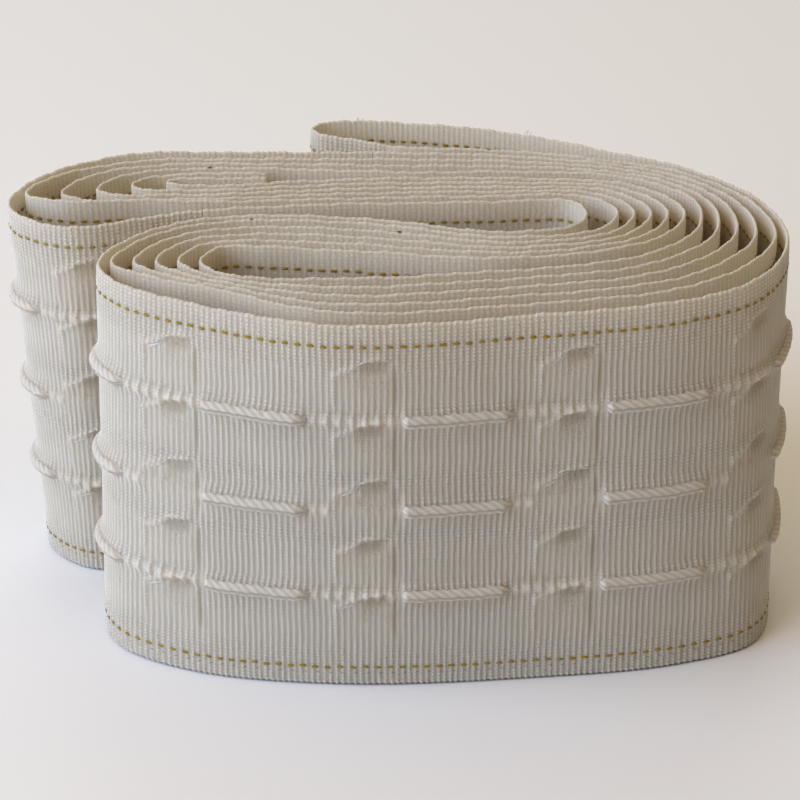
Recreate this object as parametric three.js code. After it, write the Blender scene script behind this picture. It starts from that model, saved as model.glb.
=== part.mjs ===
// Roll of curtain heading tape: one long woven band, folded double and wound into a loose,
// kidney-shaped roll that stands on the band's lower edge, with three draw cords on its face.
// Millimetres, +Z up. The origin is the middle of the footprint, on the surface it stands on.
import * as THREE from "three";

// Driving sizes of the band
const BAND_WIDTH = 76;
const BAND_THICKNESS = 1;
const LAYERS = 6;

// The pattern repeats along the band, with one column of pockets in the middle of each repeat.
// Distances run round the outermost layer from the fold's inner end. The layer is hidden in
// the notch between the lobes, and its two ends lie lapped and tucked behind other layers.
const REPEAT = 37.3;
const FIRST_COLUMN = 14.1;
const LOBE_COLUMN = 512.9;
const NOTCH = { from: 312, to: 502 };
const LAPPED = 8;
const TUCKED = 22;

// Pockets: five in a column, each with a lip that stands proud at its mouth
const POCKET_WIDTH = 11.3;
const POCKET_MOUTHS = [18.2, 30.4, 42.6, 54.8, 67];
const LIP = { height: 0.9, drop: 2.2, edge: 0.5, arch: 0.5, shoulder: 1.2 };

// Draw cords: flat in the weave beside the pockets, and proud where they float between them
const CORDS = [
  { name: "draw_cord_upper", height: 57 },
  { name: "draw_cord_middle", height: 38.4 },
  { name: "draw_cord_lower", height: 20.2 },
];
const CORD_CLEARANCE = 0.3;
const CORD_FLOAT = { proud: 1.35, halfWidth: 0.95 };
const CORD_HELD = { proud: 0.45, halfWidth: 0.7 };
const FLOAT_FROM = 0.19;
const FLOAT_SWELL = 0.07;
const CORD_CROWN = 0.5;

// How finely the band is divided along its length
const LONGEST_STEP = 14;
const WIDEST_TURN = THREE.MathUtils.degToRad(15);
const SAMPLES_PER_SECTION = 24;

// Sections of the winding, in the order in which each turn passes them. The outermost and the
// innermost layer cross a section at outer and inner. slack is how far in the second layer
// lies, from 0 to 1, and lean is how far the foot of the outermost layer stands out.
const SECTIONS = [
  { place: "back middle", outer: [0, 58], inner: [0, 28], slack: 0.5, lean: 0 },
  { place: "back right", outer: [22.5, 51.8], inner: [23, 28.2], slack: 0.48, lean: 0 },
  { place: "back corner", outer: [43, 40.2], inner: [39.5, 27], slack: 0.38, lean: 0 },
  { place: "right back", outer: [58.6, 29.6], inner: [50, 22.6], slack: 0.22, lean: 0 },
  { place: "right end", outer: [70.2, 13.2], inner: [58, 11.8], slack: 0.15, lean: 0 },
  { place: "right front", outer: [73.4, -7], inner: [56.6, -3.2], slack: 0.13, lean: 0 },
  { place: "front corner", outer: [65.6, -26.6], inner: [48.6, -13.4], slack: 0.24, lean: 4.5 },
  { place: "front right", outer: [52, -36.6], inner: [38.5, -19.2], slack: 0.24, lean: 1.5 },
  { place: "front", outer: [24, -43.6], inner: [20, -23.4], slack: 0.24, lean: -1 },
  { place: "front middle", outer: [-11, -48.2], inner: [-12, -27.4], slack: 0.28, lean: -3.5 },
  { place: "front left", outer: [-38, -38.2], inner: [-30, -26], slack: 0.52, lean: 2.5 },
  { place: "front lobe front", outer: [-51, -29.4], inner: [-35.6, -22.4], slack: 0.4, lean: 4 },
  { place: "front lobe tip", outer: [-56, -20], inner: [-37.2, -18], slack: 0.13, lean: 2 },
  { place: "front lobe back", outer: [-50.4, -6.4], inner: [-33.8, -12], slack: 0.14, lean: 0 },
  { place: "notch front", outer: [-36, 2.8], inner: [-25, -12], slack: 0.14, lean: 0 },
  { place: "inner front left", outer: [-10, 2.8], inner: [-8, -14.2], slack: 0.14, lean: 0 },
  { place: "inner front right", outer: [21, -4.6], inner: [22, -17.2], slack: 0.2, lean: 0 },
  { place: "inner turn front", outer: [33.6, -0.6], inner: [47.4, -8.6], slack: 0.3, lean: 0 },
  { place: "inner turn", outer: [36, 6.6], inner: [55.2, 6.6], slack: 0.32, lean: 0 },
  { place: "inner turn back", outer: [32.8, 12], inner: [46.6, 20.4], slack: 0.28, lean: 0 },
  { place: "inner back right", outer: [16, 11.2], inner: [16, 24.6], slack: 0.24, lean: 0 },
  { place: "inner back left", outer: [-20, 9.4], inner: [-20, 22.8], slack: 0.22, lean: 0 },
  { place: "notch back", outer: [-43, 5.4], inner: [-32, 20.6], slack: 0.32, lean: 0 },
  { place: "back lobe front", outer: [-63, -2.2], inner: [-40, 20.6], slack: 0.54, lean: -1 },
  { place: "back lobe corner", outer: [-74.6, 4.6], inner: [-45, 20.8], slack: 0.27, lean: -3 },
  { place: "back lobe tip", outer: [-77.2, 13.4], inner: [-47, 22.4], slack: 0.1, lean: -3.5 },
  { place: "back lobe rear", outer: [-71, 27.6], inner: [-45.4, 24], slack: 0.12, lean: -3 },
  { place: "back lobe back", outer: [-56, 38.4], inner: [-40, 24.4], slack: 0.26, lean: -1 },
  { place: "back left", outer: [-30, 39.4], inner: [-27, 24.6], slack: 0.26, lean: 0 },
];

// The fold at the middle of the band, from the outermost layer round to the second one
const FOLD = [
  { x: -11.8, y: 58.9 },
  { x: -16.6, y: 57.9 },
  { x: -18.9, y: 55.2 },
  { x: -17.2, y: 51 },
  { x: -10.5, y: 47.6 },
];

// Finishes
const WOVEN_COTTON = { color: 0xded9cf, roughness: 0.85, metalness: 0 };
const CORD_YARN = { color: 0xe8e4dc, roughness: 0.7, metalness: 0 };

// Where one layer crosses a section, at the band's upper edge and at its foot.
function crossing(section, layer) {
  const outer = new THREE.Vector2(...section.outer);
  const inner = new THREE.Vector2(...section.inner);
  const spread = (1 - section.slack) * (layer - 1) / (LAYERS - 2);
  const depth = layer === 0 ? 0 : section.slack + spread;
  const top = outer.clone().lerp(inner, depth);
  const outward = outer.clone().sub(inner).normalize();
  const foot = top.clone().addScaledVector(outward, section.lean * (1 - layer / LAYERS));
  return { top, foot };
}

// One half of the folded band, from the fold inwards: each turn lies two layers further in.
function strand(firstLayer) {
  const rows = [];
  for (let layer = firstLayer; layer < LAYERS; layer += 2) {
    for (const section of SECTIONS) {
      rows.push(crossing(section, layer));
    }
  }
  return rows;
}

// The band's middle line as two smooth curves, one at its upper edge and one at its foot.
function windingCurves() {
  const fold = FOLD.map(({ x, y }) => {
    const point = new THREE.Vector2(x, y);
    return { top: point, foot: point };
  });
  const rows = [...strand(0).reverse(), ...fold, ...strand(1)];
  const curve = (edge, height) =>
    new THREE.CatmullRomCurve3(
      rows.map((row) => new THREE.Vector3(row[edge].x, row[edge].y, height)),
      false,
      "centripetal",
    );
  return {
    top: curve("top", BAND_WIDTH),
    foot: curve("foot", 0),
    sections: rows.length - 1,
    foldEnd: SECTIONS.length * LAYERS / 2 + FOLD.length - 1,
  };
}

// Samples along the winding. travelled is measured back along the band from the fold's inner
// end, so it grows round the outermost layer. face points to the side that shows the cords.
function sampleWinding() {
  const curves = windingCurves();
  const count = curves.sections * SAMPLES_PER_SECTION;
  const samples = [];
  for (let i = 0; i <= count; i += 1) {
    const top = curves.top.getPoint(i / count);
    const foot = curves.foot.getPoint(i / count);
    const last = samples.at(-1);
    const along = last ? last.along + top.distanceTo(last.top) : 0;
    samples.push({ top, foot, along });
  }
  const origin = samples[curves.foldEnd * SAMPLES_PER_SECTION].along;
  samples.forEach((sample, i) => {
    const before = samples[Math.max(i - 1, 0)].top;
    const after = samples[Math.min(i + 1, count)].top;
    const travel = after.clone().sub(before).normalize();
    sample.travelled = origin - sample.along;
    sample.heading = Math.atan2(travel.y, travel.x);
    sample.face = new THREE.Vector3(travel.y, -travel.x, 0);
  });
  return samples;
}

// The middles of the pocket columns on the parts of the outermost layer that show.
function columnMiddles(lengthRound) {
  const middles = [];
  for (let s = FIRST_COLUMN; s < NOTCH.from; s += REPEAT) {
    middles.push(s);
  }
  for (let s = LOBE_COLUMN; s < lengthRound; s += REPEAT) {
    middles.push(s);
  }
  return middles;
}

// Where the band needs a station for its pockets and cords, by the distance travelled.
function patternMarks(middles) {
  const half = POCKET_WIDTH / 2;
  const floatStart = FLOAT_FROM * REPEAT;
  const floatFull = (FLOAT_FROM + FLOAT_SWELL) * REPEAT;
  const offsets = [half, half - LIP.shoulder, floatStart, floatFull];
  return middles.flatMap((middle) => [
    middle,
    ...offsets.map((offset) => middle - offset),
    ...offsets.map((offset) => middle + offset),
  ]);
}

// The stations of the band: close together round the bends and at the pattern's marks.
function chooseStations(samples, marks) {
  const open = new Set(marks);
  const stations = [samples[0]];
  let turned = 0;
  for (let i = 1; i < samples.length; i += 1) {
    const sample = samples[i];
    const last = stations[stations.length - 1];
    const turn = sample.heading - samples[i - 1].heading;
    turned += Math.abs(Math.atan2(Math.sin(turn), Math.cos(turn)));
    const passed = [...open].filter((mark) => sample.travelled <= mark && mark <= last.travelled);
    passed.forEach((mark) => open.delete(mark));
    const far = sample.along - last.along >= LONGEST_STEP;
    if (passed.length || far || turned >= WIDEST_TURN || i === samples.length - 1) {
      stations.push(sample);
      turned = 0;
    }
  }
  return stations;
}

// The distance from the middle of the nearest column, as a share of the repeat.
function phase(travelled) {
  const hidden = (LOBE_COLUMN - FIRST_COLUMN) % REPEAT;
  const eased = THREE.MathUtils.clamp((travelled - NOTCH.from) / (NOTCH.to - NOTCH.from), 0, 1);
  const repeats = (travelled - FIRST_COLUMN - hidden * eased) / REPEAT;
  return Math.abs(repeats - Math.round(repeats));
}

// A point on the band: out is the distance from its middle line towards the face.
function onBand(station, height, out) {
  const middle = station.foot.clone().lerp(station.top, height / BAND_WIDTH);
  return middle.addScaledVector(station.face, out).setZ(height);
}

// The face of the band at one station, from foot to top, with the pockets' lips standing out.
function faceColumn(station, middles, shows) {
  const flat = BAND_THICKNESS / 2;
  if (!shows) {
    return [onBand(station, 0, flat), onBand(station, BAND_WIDTH, flat)];
  }
  const away = Math.min(...middles.map((middle) => Math.abs(middle - station.travelled)));
  const across = (POCKET_WIDTH / 2 - away) / LIP.shoulder;
  const proud = LIP.height * THREE.MathUtils.clamp(across, 0, 1);
  const arch = LIP.arch * THREE.MathUtils.clamp(1 - (2 * away) / POCKET_WIDTH, 0, 1);
  const lips = POCKET_MOUTHS.flatMap((mouth) => [
    onBand(station, mouth - LIP.drop, flat),
    onBand(station, mouth + arch, flat + proud),
    onBand(station, mouth + arch + LIP.edge, flat),
  ]);
  return [onBand(station, 0, flat), ...lips, onBand(station, BAND_WIDTH, flat)];
}

// Triangles between two neighbouring columns of points, which may hold different numbers.
function zip(columnA, columnB, triangles) {
  let a = 0;
  let b = 0;
  while (a < columnA.length - 1 || b < columnB.length - 1) {
    const nextA = columnA[a + 1] ? columnA[a + 1].z : Infinity;
    const nextB = columnB[b + 1] ? columnB[b + 1].z : Infinity;
    if (nextA <= nextB) {
      triangles.push([columnA[a], columnB[b], columnA[a + 1]]);
      a += 1;
    } else {
      triangles.push([columnA[a], columnB[b], columnB[b + 1]]);
      b += 1;
    }
  }
}

function geometryOf(triangles) {
  const points = triangles.flat();
  const geometry = new THREE.BufferGeometry().setFromPoints(points);
  geometry.computeVertexNormals();
  return geometry;
}

// The band as one closed strip: its face, its back, its two edges and its two ends.
function bandGeometry(stations, middles, showing) {
  const triangles = [];
  const flat = BAND_THICKNESS / 2;
  const columns = stations.map((station) => ({
    face: faceColumn(station, middles, showing(station)),
    back: [onBand(station, 0, -flat), onBand(station, BAND_WIDTH, -flat)],
  }));
  for (let i = 1; i < columns.length; i += 1) {
    const here = columns[i - 1];
    const next = columns[i];
    zip(here.face, next.face, triangles);
    zip(next.back, here.back, triangles);
    const footOf = (column) => [column.face[0], column.back[0]];
    const topOf = (column) => [column.face.at(-1), column.back[1]];
    const [faceFoot, backFoot] = footOf(here);
    const [nextFaceFoot, nextBackFoot] = footOf(next);
    triangles.push([faceFoot, backFoot, nextFaceFoot], [backFoot, nextBackFoot, nextFaceFoot]);
    const [faceTop, backTop] = topOf(here);
    const [nextFaceTop, nextBackTop] = topOf(next);
    triangles.push([faceTop, nextFaceTop, backTop], [nextFaceTop, nextBackTop, backTop]);
  }
  zip(columns[0].back, columns[0].face, triangles);
  zip(columns.at(-1).face, columns.at(-1).back, triangles);
  return geometryOf(triangles);
}

// One draw cord: a low ridge that follows the face, proud over each float.
function cordGeometry(stations, height) {
  const triangles = [];
  const rings = stations.map((station) => {
    const swell = (phase(station.travelled) - FLOAT_FROM) / FLOAT_SWELL;
    const afloat = THREE.MathUtils.smoothstep(swell, 0, 1);
    const inNotch = station.travelled > NOTCH.from && station.travelled < NOTCH.to;
    const share = inNotch ? 0 : afloat;
    const proud = THREE.MathUtils.lerp(CORD_HELD.proud, CORD_FLOAT.proud, share);
    const half = THREE.MathUtils.lerp(CORD_HELD.halfWidth, CORD_FLOAT.halfWidth, share);
    const seat = BAND_THICKNESS / 2 + CORD_CLEARANCE;
    return [
      onBand(station, height - half, seat),
      onBand(station, height - half * CORD_CROWN, seat + proud),
      onBand(station, height + half * CORD_CROWN, seat + proud),
      onBand(station, height + half, seat),
    ];
  });
  for (let i = 1; i < rings.length; i += 1) {
    rings[i].forEach((corner, k) => {
      const other = (k + 1) % rings[i].length;
      const before = rings[i - 1];
      triangles.push([before[k], corner, before[other]], [corner, rings[i][other], before[other]]);
    });
  }
  const [a, b, c, d] = rings[0];
  triangles.push([a, b, c], [a, c, d]);
  const [e, f, g, h] = rings.at(-1);
  triangles.push([e, g, f], [e, h, g]);
  return geometryOf(triangles);
}

function piece(name, geometry, finish) {
  const mesh = new THREE.Mesh(geometry, new THREE.MeshStandardMaterial(finish));
  mesh.name = name;
  return mesh;
}

const samples = sampleWinding();
const outermost = samples[SECTIONS.length * (LAYERS / 2 - 1) * SAMPLES_PER_SECTION];
const lengthRound = outermost.travelled + TUCKED;
const middles = columnMiddles(lengthRound);
const stations = chooseStations(samples, patternMarks(middles));
const isOnFace = ({ travelled }) => travelled >= -LAPPED && travelled <= lengthRound;
const isHidden = ({ travelled }) => travelled > NOTCH.from && travelled < NOTCH.to;
const shows = (station) => isOnFace(station) && !isHidden(station);

const roll = new THREE.Group();
roll.add(piece("tape_band", bandGeometry(stations, middles, shows), WOVEN_COTTON));
for (const cord of CORDS) {
  roll.add(piece(cord.name, cordGeometry(stations.filter(isOnFace), cord.height), CORD_YARN));
}

// The origin goes to the middle of the footprint
const box = new THREE.Box3().setFromObject(roll);
const middle = box.getCenter(new THREE.Vector3());
roll.position.set(-middle.x, -middle.y, -box.min.z);

export default roll;
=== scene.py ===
"""The looks of a loose roll of woven curtain heading tape.

The band is woven again over the winding of its solid: ribs, pockets, beaded zones, bumpy
selvedges, marker stitches and twisted draw cords. Lengths inside are in millimetres, along
the band (travelled), from the nearest pocket column (beside), up its width (height) and
out of its face (out).
"""

import math

import bpy
import numpy as np
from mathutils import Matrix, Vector


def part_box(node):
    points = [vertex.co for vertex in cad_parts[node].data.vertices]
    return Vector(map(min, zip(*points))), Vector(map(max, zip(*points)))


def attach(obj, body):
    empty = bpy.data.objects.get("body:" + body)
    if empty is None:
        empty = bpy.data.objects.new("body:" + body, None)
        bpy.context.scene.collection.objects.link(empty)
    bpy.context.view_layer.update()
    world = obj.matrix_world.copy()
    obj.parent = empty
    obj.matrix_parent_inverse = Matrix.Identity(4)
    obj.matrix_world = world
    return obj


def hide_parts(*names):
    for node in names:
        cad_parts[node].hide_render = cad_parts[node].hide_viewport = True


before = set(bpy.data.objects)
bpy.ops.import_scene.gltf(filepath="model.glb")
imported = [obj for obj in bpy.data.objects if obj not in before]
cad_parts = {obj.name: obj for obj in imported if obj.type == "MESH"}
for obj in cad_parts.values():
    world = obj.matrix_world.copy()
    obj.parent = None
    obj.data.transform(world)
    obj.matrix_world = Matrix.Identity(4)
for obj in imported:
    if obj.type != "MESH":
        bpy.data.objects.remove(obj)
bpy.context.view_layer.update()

bl_info = {
    "name": "Curtain Heading Tape Roll",
    "version": (1, 0, 0),
    "blender": (4, 5, 0),
    "location": "3D Viewport > Sidebar > Heading Tape",
    "description": "Weaves a loose roll of curtain heading tape over its solid",
    "category": "Object",
}

MM = 0.001

# The band, as in its solid, and half the thickness of its cloth
WIDTH = 76.0
THICKNESS = 1.0
CLOTH_HALF = 0.3
LAYERS = 6

# The pattern along the band: its repeat, the first pocket column on each lobe, and the
# hidden stretch in the notch over which the pattern is shifted
REPEAT = 37.3
FIRST_COLUMN = 14.1
LOBE_COLUMN = 512.9
NOTCH_FROM = 312.0
NOTCH_TO = 502.0
RIBS_PER_REPEAT = 33
STITCHES_PER_REPEAT = 16

# The outermost turn, from its start at the fold to its end
OUTER_FROM = -8.0
OUTER_TO = 622.0

# The pockets: the heights of their mouths, each with a patch of finer cloth below it, and
# where the beads and the groove run along a column, measured from the column's middle
POCKET_WIDTH = 11.3
POCKET_MOUTHS = (18.2, 30.4, 42.6, 54.8, 67.0)
PATCH_DEPTH = 7.2
BEADED_BORDER = POCKET_WIDTH / 2 - 0.3
GROOVED_BORDER = -POCKET_WIDTH / 2 - 0.1

# The opening in each mouth, on the column's grooved half, and the lip above it
OPENING_ASIDE = 1.9
OPENING_HALF_WIDTH = 2.5
OPENING_HALF_HEIGHT = 1.45
OPENING_RISE = 0.5
OPENING_SLANT = 0.4
LIP_RISE = 1.8
LIP_WIDTH = 0.45

# The slanted ridge that rises to the lip from the column's beaded border
RIDGE_START = (5.4, -0.9)
RIDGE_SLANT = 0.48
RIDGE_WIDTH = 0.65

# The weave: how narrow the ribs are, how far and how often they sway, the pitch of the
# beads and of the finest lines, and what share of ribs and beads the plain cloth has
RIB_SHARPNESS = 1.8
RIB_SWAY = 0.07
SWAY_HEIGHT = 9.0
SWAY_LENGTH = 6.7
BEAD_PITCH = 0.72
LINE_PITCH = 0.45
PLAIN_RIBS = 0.5
PLAIN_BEADS = 0.35

# What makes the cloth uneven: the lengths of its soft waves, and the steps of its quirks
UNEVEN_LENGTHS = (23.0, 11.0, 5.3, 2.9)
COLUMN_STEP = 12.9898
SEED_STEP = 78.233

# How far each feature stands out of the band's flat face, or lies below it
BORDER_RELIEF = 0.14
GROOVE_RELIEF = 0.16
PATCH_RELIEF = 0.14
MOUTH_RELIEF = 0.3
LIP_RELIEF = 0.45
HELD_RELIEF = 0.85

# The draw cords: heights, plies as shares of a cord's radius, size under the weave, and
# the pitch of the lumps that they make there
CORD_HEIGHTS = {"upper": 57.0, "middle": 38.4, "lower": 20.2}
CORD_PLIES = 5
PLY_RADIUS = 0.56
PLY_OFFSET = 0.44
HELD_SIZE = 0.2
LUMP_PITCH = 2.3

# Where a float goes down before a column and comes up after it, measured from the
# column's middle, and how far its own middle lies out of the cloth, as a share of its
# radius
FLOAT_DOWN = (6.3, 7.7)
FLOAT_UP = (8.6, 12.2)
FLOAT_SEAT = 0.55

# Distances between the rings of a cord: in its floats, under the weave and in the notch
FLOAT_RINGS = 0.33
HELD_RINGS = 1.0
HIDDEN_RINGS = 3.0
CORD_SIDES = 20

# The marker lines, how unevenly they are stitched, and the dark dots below the lower one
MARKER_HEIGHTS = (4.0, 71.8)
STITCH_HALF_WIDTH = 0.31
STITCH_HALF_DEPTH = 0.13
STITCH_LENGTHS = (0.9, 1.1)
STITCH_WANDER = 0.07
BACK_SHIFT = 0.25
DOT_HEIGHT = 2.75
DOT_SIZE = 0.22

# Heights at which the mesh of the band is divided
FACE_FOOT = 0.4
FACE_TOP = 75.5
PLAIN_HEIGHTS = (FACE_FOOT, 8, 40, 66, 71, FACE_TOP)
FACE_STEP = 1.9
MOUTH_STEP = 0.45
CORD_STEPS = (-1.7, -1.1, -0.5, 0, 0.5, 1.1, 1.6)
LEAST_STEP = 0.32

# The winding: where the outermost and the innermost layer cross each section, how far in
# the second layer lies, and how far the outermost layer's foot stands out from its top
# (place, outer x, outer y, inner x, inner y, slack, lean)
SECTIONS = (
    ("back middle", 0, 58, 0, 28, 0.5, 0),
    ("back right", 22.5, 51.8, 23, 28.2, 0.48, 0),
    ("back corner", 43, 40.2, 39.5, 27, 0.38, 0),
    ("right back", 58.6, 29.6, 50, 22.6, 0.22, 0),
    ("right end", 70.2, 13.2, 58, 11.8, 0.15, 0),
    ("right front", 73.4, -7, 56.6, -3.2, 0.13, 0),
    ("front corner", 65.6, -26.6, 48.6, -13.4, 0.24, 4.5),
    ("front right", 52, -36.6, 38.5, -19.2, 0.24, 1.5),
    ("front", 24, -43.6, 20, -23.4, 0.24, -1),
    ("front middle", -11, -48.2, -12, -27.4, 0.28, -3.5),
    ("front left", -38, -38.2, -30, -26, 0.52, 2.5),
    ("front lobe front", -51, -29.4, -35.6, -22.4, 0.4, 4),
    ("front lobe tip", -56, -20, -37.2, -18, 0.13, 2),
    ("front lobe back", -50.4, -6.4, -33.8, -12, 0.14, 0),
    ("notch front", -36, 2.8, -25, -12, 0.14, 0),
    ("inner front left", -10, 2.8, -8, -14.2, 0.14, 0),
    ("inner front right", 21, -4.6, 22, -17.2, 0.2, 0),
    ("inner turn front", 33.6, -0.6, 47.4, -8.6, 0.3, 0),
    ("inner turn", 36, 6.6, 55.2, 6.6, 0.32, 0),
    ("inner turn back", 32.8, 12, 46.6, 20.4, 0.28, 0),
    ("inner back right", 16, 11.2, 16, 24.6, 0.24, 0),
    ("inner back left", -20, 9.4, -20, 22.8, 0.22, 0),
    ("notch back", -43, 5.4, -32, 20.6, 0.32, 0),
    ("back lobe front", -63, -2.2, -40, 20.6, 0.54, -1),
    ("back lobe corner", -74.6, 4.6, -45, 20.8, 0.27, -3),
    ("back lobe tip", -77.2, 13.4, -47, 22.4, 0.1, -3.5),
    ("back lobe rear", -71, 27.6, -45.4, 24, 0.12, -3),
    ("back lobe back", -56, 38.4, -40, 24.4, 0.26, -1),
    ("back left", -30, 39.4, -27, 24.6, 0.26, 0),
)
# Sections where the second layer stands higher than the rest, and by how much
RAISED = {"notch back": 0.5, "back lobe front": 1.0, "back lobe corner": 1.1, "back lobe tip": 0.7}
FOLD = ((-11.8, 58.9), (-16.6, 57.9), (-18.9, 55.2), (-17.2, 51), (-10.5, 47.6))
SAMPLES_PER_SECTION = 24

# Runs of the band, each one piece: (name, from, to, detailed face)
# The first and last runs go on to the two ends, deep in the roll.
RUNS = (
    ("inner_turns_wound_forward", None, OUTER_FROM, False),
    ("outer_turn_back_and_right", OUTER_FROM, 150.0, True),
    ("outer_turn_front", 150.0, 330.0, True),
    ("outer_turn_in_the_notch", 330.0, 488.0, False),
    ("outer_turn_back_lobe", 488.0, OUTER_TO, True),
    ("inner_turns_wound_back", OUTER_TO, None, False),
)

# Threads that bridge each pocket's mouth, measured from the mouth's middle, and how far
# their ends stray along the band, with the share of that up its width
# (from along, from up, to along, to up, arch, radius)
THREAD_SPREAD = 0.3
THREAD_FLATNESS = 0.4
MOUTH_THREADS = (
    (5.4, -1.1, 1.3, 0.9, 0.1, 0.3),
    (5.2, -1.5, 1.2, 0.3, 0.15, 0.26),
    (4.4, -0.7, 0.6, 1.3, 0.2, 0.24),
    (1.2, 1.5, -0.6, 2.3, 0.2, 0.2),
    (-0.2, 2.1, -1.8, 2.6, 0.2, 0.2),
    (-1.4, 2.4, -3.2, 2.5, 0.2, 0.2),
    (-2.8, 2.6, -4.4, 2.2, 0.15, 0.18),
)

# Lint on the upper edges: (travelled, height, out, reach, seed)
LINT = (
    (23.3, 76.0, 0.0, 0.8, 3),
    (24.1, 76.0, 0.1, 0.5, 4),
    (60.0, 76.0, 0.0, 1.0, 5),
    (61.2, 76.0, 0.1, 0.7, 8),
)

# Specks on the upper edges: (name, colour, travelled, height, out, size)
SPECKS = (
    ("reddish_speck", (0.2, 0.1, 0.085), -1047.5, 76.1, 0.1, 0.42),
    ("dark_speck", (0.09, 0.085, 0.09), -290.9, 76.1, 0.1, 0.3),
    ("grey_speck", (0.14, 0.13, 0.125), 914.6, 76.1, 0.1, 0.5),
)

# The finishes: colours, how much calmer the plain cloth's painted groove shade is and how much
# painted light lifts it, how deep light goes in (weight, radius of each colour, scale), bumps in
# metres, and scales of grain
WARM_SHEEN = (1.0, 0.88, 0.7, 1)
# Painted shade that darkens the upper edge where the overhead lamp falls most
CREST_SHADE_COLOUR = (0.56, 0.505, 0.42, 1)
CREST_DEPTH = 1.0
DOT_COLOUR = (0.16, 0.14, 0.13, 1)
FILAMENT_COLOUR = (0.6, 0.57, 0.52, 1)
CALM = 0.35
# Painted light that lifts the plain inner walls, in place of light passed between layers
INNER_PAINTED_LIGHT = 0.08
CLOTH_DEPTH = (0.55, (1.0, 0.88, 0.72), 0.0035)
CORD_DEPTH = (0.4, (1.0, 0.78, 0.55), 0.0014)
CLOTH_BUMP = 0.00022
CORD_BUMP = 0.00012
MARKER_BUMP = 0.0001
FIBRE_GRAIN = 2.2
FINE_GRAIN = 7.0
BROAD_GRAIN = 0.07
YARN_GRAIN = 1.4
DYE_GRAIN = 900.0
DUST_GRAIN = 2500.0
FLOOR_GRAIN = 3.0

# The stage: places in metres, the tilt in degrees, the lens in millimetres, power in watts
FLOOR_HALF = 6.0
FLOOR_GAP = 0.0003
FLOOR_COLOURS = ((0.88, 0.895, 0.92, 1), (0.91, 0.925, 0.95, 1))
ROOM_COLOUR = (1.0, 0.85, 0.6, 1)
ROOM_STRENGTH = 0.015
CAMERA_PLACE = (0.00149, -0.42827, 0.24403)
CAMERA_TILT = 64
LENS = 105.95
SENSOR = 36
LAMP_AIM = (0, 0, 0.04)
# (name, place, size, power, colour)
LAMPS = (
    ("left_window", (-1.0, -0.48, 0.5), 1.3, 22.0, (0.617, 0.748, 1.0)),
    ("overhead_softbox", (-0.1, 0.0, 1.2), 2.2, 14.3, (1.0, 0.75, 0.42)),
    ("rear_softbox", (0.0, 1.4, 0.9), 1.2, 7.0, (0.82, 0.92, 1.0)),
)


def smooth(value, low, high):
    """Eases from 0 at low to 1 at high."""
    share = np.clip((value - low) / (high - low), 0, 1)
    return share * share * (3 - 2 * share)


def bell(value, middle, width):
    """Swells to 1 at the middle and falls off on both sides."""
    return np.exp(-(((value - middle) / width) ** 2))


def crossing(section, layer):
    """Upper edge and foot of one layer where it crosses a section."""
    _, outer_x, outer_y, inner_x, inner_y, slack, lean = section
    outer = np.array([outer_x, outer_y], float)
    inner = np.array([inner_x, inner_y], float)
    depth = 0 if layer == 0 else slack + (1 - slack) * (layer - 1) / (LAYERS - 2)
    top = outer + (inner - outer) * depth
    outward = (outer - inner) / np.linalg.norm(outer - inner)
    return top, top + outward * lean * (1 - layer / LAYERS)


def strand(first_layer):
    """One half of the folded band, from the fold inwards, two layers further at each turn."""
    layers = range(first_layer, LAYERS, 2)
    return [crossing(section, layer) for layer in layers for section in SECTIONS]


def rises(first_layer):
    """How much higher than the rest the strand stands at each of its sections."""
    layers = range(first_layer, LAYERS, 2)
    return [RAISED.get(section[0], 0) * (layer == 1) for layer in layers for section in SECTIONS]


def spacing(start, end):
    """How far apart two points of a centripetal curve count: the root of their distance."""
    return math.sqrt(max(math.dist(start, end), 1e-8))


def smooth_curve(points):
    """A centripetal curve through the points, sampled evenly between each two."""
    points = np.array(points)
    ends = (2 * points[0] - points[1], 2 * points[-1] - points[-2])
    padded = np.vstack([ends[0], points, ends[1]])
    share = np.linspace(0, 1, SAMPLES_PER_SECTION, endpoint=False)[:, None]
    parts = []
    for a, b, c, d in zip(padded, padded[1:], padded[2:], padded[3:]):
        before = spacing(a, b)
        within = spacing(b, c)
        after = spacing(c, d)
        leave = (b - a) / before - (c - a) / (before + within) + (c - b) / within
        arrive = (c - b) / within - (d - b) / (within + after) + (d - c) / after
        leave = leave * within
        arrive = arrive * within
        bend = (2 * b - 2 * c + leave + arrive) * share**3
        parts.append(bend + (3 * c - 3 * b - 2 * leave - arrive) * share**2 + leave * share + b)
    return np.vstack([*parts, points[-1:]])


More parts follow.
